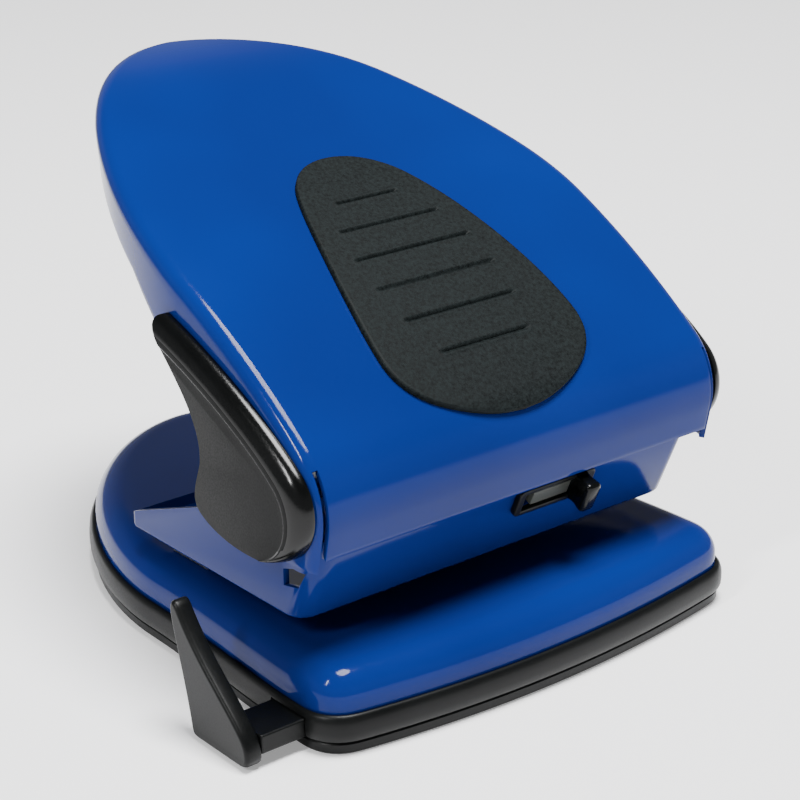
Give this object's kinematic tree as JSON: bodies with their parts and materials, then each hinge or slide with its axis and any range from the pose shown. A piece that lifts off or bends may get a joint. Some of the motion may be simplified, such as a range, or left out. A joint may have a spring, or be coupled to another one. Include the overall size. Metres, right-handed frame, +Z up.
{
  "type": "two-hole paper punch",
  "caption": "Hand-worked paper punch with a broad tapered lever, soft grip pad, lock slide, pull-out paper guide and a chip tray under the base.",
  "frame": {"origin": "middle of the face the punch stands on, under the middle of the base plate's depth and width", "axes": "+X along the paper edge to the right, -Y the side the paper goes in and the operator stands, +Z up"},
  "size_m": [0.139, 0.1556, 0.1188],
  "materials": {
    "blue_paint": "gloss",
    "black_plastic": "satin",
    "lock_plastic": "gloss",
    "soft_pad": "matte",
    "tool_steel": "ground",
    "plated_steel": "zinc plated",
    "spring_wire": "drawn"
  },
  "bodies": {
    "base": {"base_plate": "blue_paint", "base_rim": "black_plastic", "die_left": "tool_steel", "die_right": "tool_steel", "back_stop": "plated_steel", "punch_bracket": "blue_paint", "bracket_rivets": "plated_steel", "guide_bridge": "plated_steel", "pivot_axle": "plated_steel", "axle_clips": "plated_steel", "lock_frame": "lock_plastic", "guide_channel": "black_plastic", "spring_left": "spring_wire", "spring_right": "spring_wire"},
    "lever": {"lever_shell": "blue_paint", "lever_stiffener": "plated_steel", "press_rod": "plated_steel", "grip_pad": "soft_pad", "pivot_cap_left": "black_plastic", "pivot_cap_right": "black_plastic"},
    "pin_left": {"punch_pin_left": "tool_steel", "pin_collar_left": "plated_steel"},
    "pin_right": {"punch_pin_right": "tool_steel", "pin_collar_right": "plated_steel"},
    "lock": {"lock_slide": "lock_plastic"},
    "paper_guide": {"guide_rule": "black_plastic", "guide_stop": "black_plastic"},
    "tray": {"chip_tray": "black_plastic"}
  },
  "joints": [
    {"name": "lever_hinge", "type": "hinge", "parent": "base", "child": "lever", "pos_m": [0, -0.0482, 0.0513], "axis": [-1, 0, 0], "range_deg": [0, 22], "stiffness_Nm_per_rad": 2, "springref_deg": -20.05},
    {"name": "punch_left", "type": "slide", "parent": "base", "child": "pin_left", "axis": [0, 0, -1], "range_m": [0, 0.0096], "deforming": ["spring_left"]},
    {"name": "punch_right", "type": "slide", "parent": "base", "child": "pin_right", "axis": [0, 0, -1], "range_m": [0, 0.0096], "deforming": ["spring_right"]},
    {"name": "lock_slide", "type": "slide", "parent": "base", "child": "lock", "axis": [-1, 0, 0], "range_m": [0, 0.003]},
    {"name": "paper_guide", "type": "slide", "parent": "base", "child": "paper_guide", "axis": [-1, 0, 0], "range_m": [0, 0.076]},
    {"name": "chip_tray", "type": "slide", "parent": "base", "child": "tray", "axis": [0, 0, -1], "range_m": [0, 0.03]}
  ],
  "couplings": [
    {"joint": "punch_left", "follows": "lever_hinge", "m_per_rad": 0.0248},
    {"joint": "punch_right", "follows": "lever_hinge", "m_per_rad": 0.0248}
  ]
}
